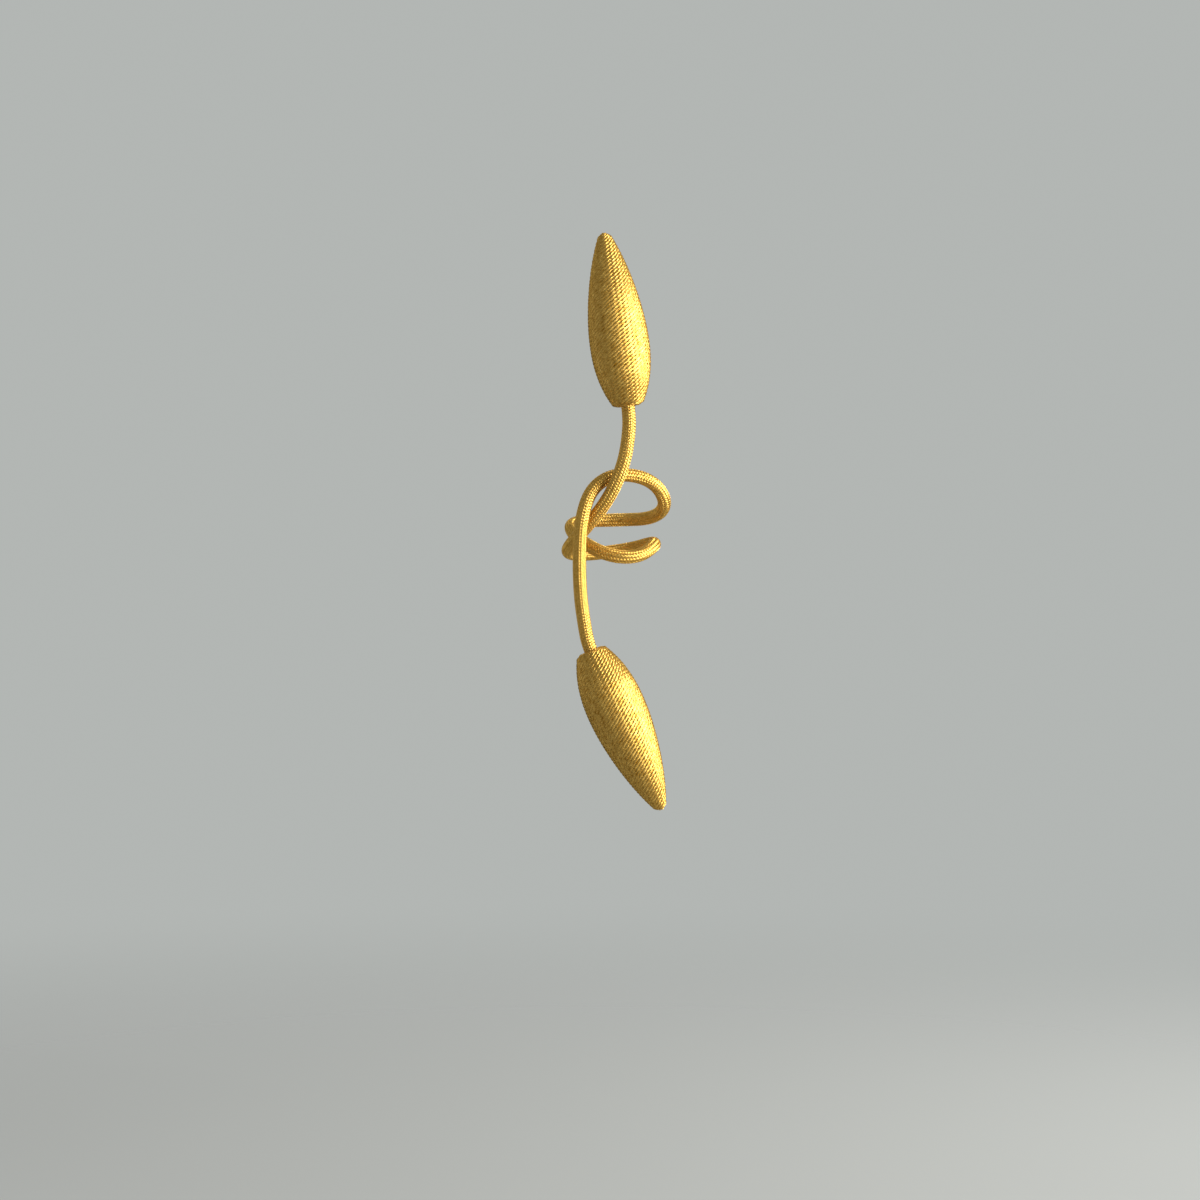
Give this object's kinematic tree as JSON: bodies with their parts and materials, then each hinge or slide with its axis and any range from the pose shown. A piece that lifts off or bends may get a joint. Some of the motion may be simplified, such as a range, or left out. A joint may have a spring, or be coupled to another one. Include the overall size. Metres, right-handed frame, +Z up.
{
  "type": "curtain holdback",
  "caption": "Bendable curtain holdback: a gold braid-covered wire wound round a gathered curtain, with a pointed cord-wound bud on each end.",
  "frame": {"origin": "middle of the two loops, where the gathered curtain passes through", "axes": "+Z up along the curtain, -Y to the front of the holdback, +X to the right as it is seen from the front"},
  "size_m": [0.0529, 0.0589, 0.2743],
  "materials": {
    "gold_braid": "satin gold thread, braided",
    "gold_cord": "satin gold thread, twisted cord",
    "bare_wire": "soft drawn wire",
    "turned_wood": "turned, unfinished"
  },
  "bodies": {
    "root": {"braided_sleeve": "gold_braid", "core_wire": "bare_wire", "upper_bud_core": "turned_wood", "upper_bud_winding": "gold_cord", "lower_bud_core": "turned_wood", "lower_bud_winding": "gold_cord"}
  },
  "joints": []
}
